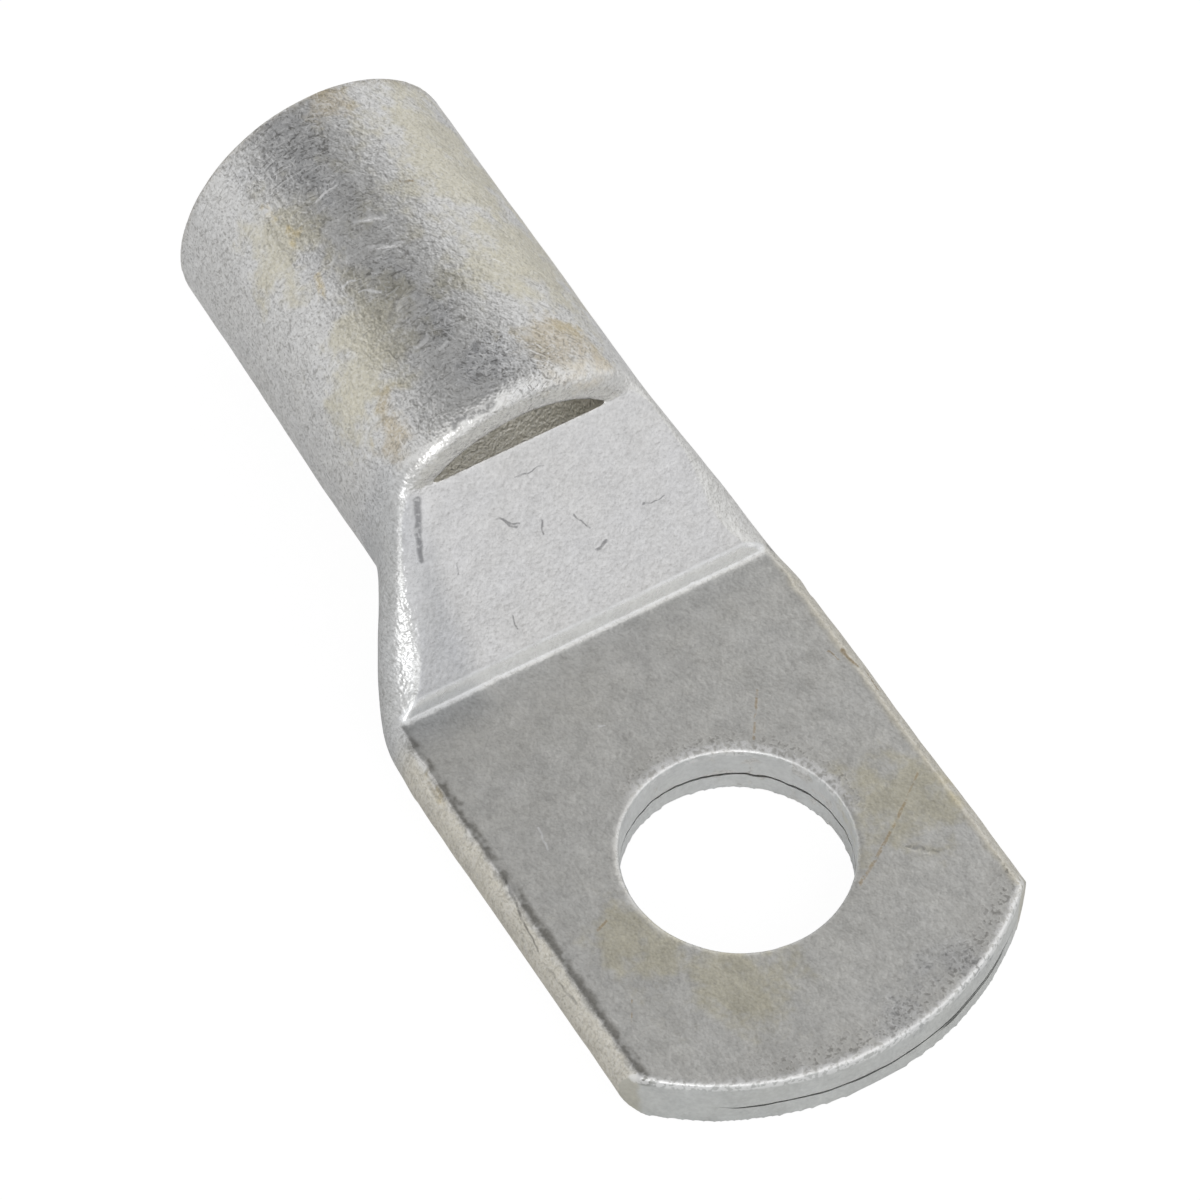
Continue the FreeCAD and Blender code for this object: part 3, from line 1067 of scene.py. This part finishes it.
paper = bpy.data.materials.new("floor_paper")
paper.use_nodes = True
tree = paper.node_tree
tree.nodes.clear()
matt = put(tree, "ShaderNodeBsdfDiffuse", {"Color": (0.9, 0.9, 0.9, 1)})
glow = put(tree, "ShaderNodeEmission", {"Color": (1, 1, 1, 1), "Strength": glow_strength})
seen = calc(tree, "MULTIPLY", put(tree, "ShaderNodeLightPath").outputs["Is Camera Ray"], glow_share)
mixed = put(tree, "ShaderNodeMixShader", {0: seen, 1: matt.outputs[0], 2: glow.outputs[0]})
put(tree, "ShaderNodeOutputMaterial", {"Surface": mixed.outputs[0]})
floor_mesh.materials.append(paper)
print("floor of %.0f m, %.2f mm below the lug" % (2 * floor_reach, -floor_z / MM))

# %% [markdown]
# ## Light
# Metal shows its surroundings, so the light is built as a room: a pale one all round, with a darker
# part of the ceiling that the palm and the barrel's top reflect, and a dimmer wall on the left. A
# large soft box at the front left brightens the creases, the bend and the lip.

# %% Room
world = bpy.data.worlds.new("studio")
bpy.context.scene.world = world
world.use_nodes = True
tree = world.node_tree
tree.nodes.clear()
looking = put(tree, "ShaderNodeTexCoord").outputs["Generated"]

def towards(direction, start, end):
    """A mask round a direction in the room, from the cosines at which it starts and is full."""
    turned = vector_measure(tree, "DOT_PRODUCT", looking, Vector(direction).normalized())
    return span(tree, turned, start, end)

level = 0.94
for mask, dimmer in (
        (towards((0.45, 0.1, 0.88), 0.6, 0.96), 0.66),
        (towards((0.3, -0.95, 0.1), 0.3, 1.0), 0.04),
        (towards((-0.1, 0.99, 0.05), 0.84, 0.99), 0.3)):
    level = plus(tree, level, mask, -dimmer)
sky = put(tree, "ShaderNodeBackground", {"Color": (1, 1, 1, 1), "Strength": level})
put(tree, "ShaderNodeOutputWorld", {"Surface": sky.outputs[0]})
print("room:", len(tree.nodes), "nodes")

# %% Soft box
def soft_box(name, place, size, power):
    """A square lamp that faces the lug, with its place and size in millimetres and power in watts."""
    data = bpy.data.lights.new(name, "AREA")
    data.size = size * MM
    data.energy = power
    lamp = bpy.data.objects.new(name, data)
    lamp.location = Vector(place) * MM
    lamp.rotation_mode = "QUATERNION"
    lamp.rotation_quaternion = (target - lamp.location).to_track_quat("-Z", "Y")
    bpy.context.scene.collection.objects.link(lamp)
    return lamp

box = soft_box("front_left_box", (-260, 230, 170), 120, 0.1)
bpy.context.scene.view_settings.view_transform = "Standard"
print("soft box is %.0f mm from the lug" % ((target - box.location).length / MM))
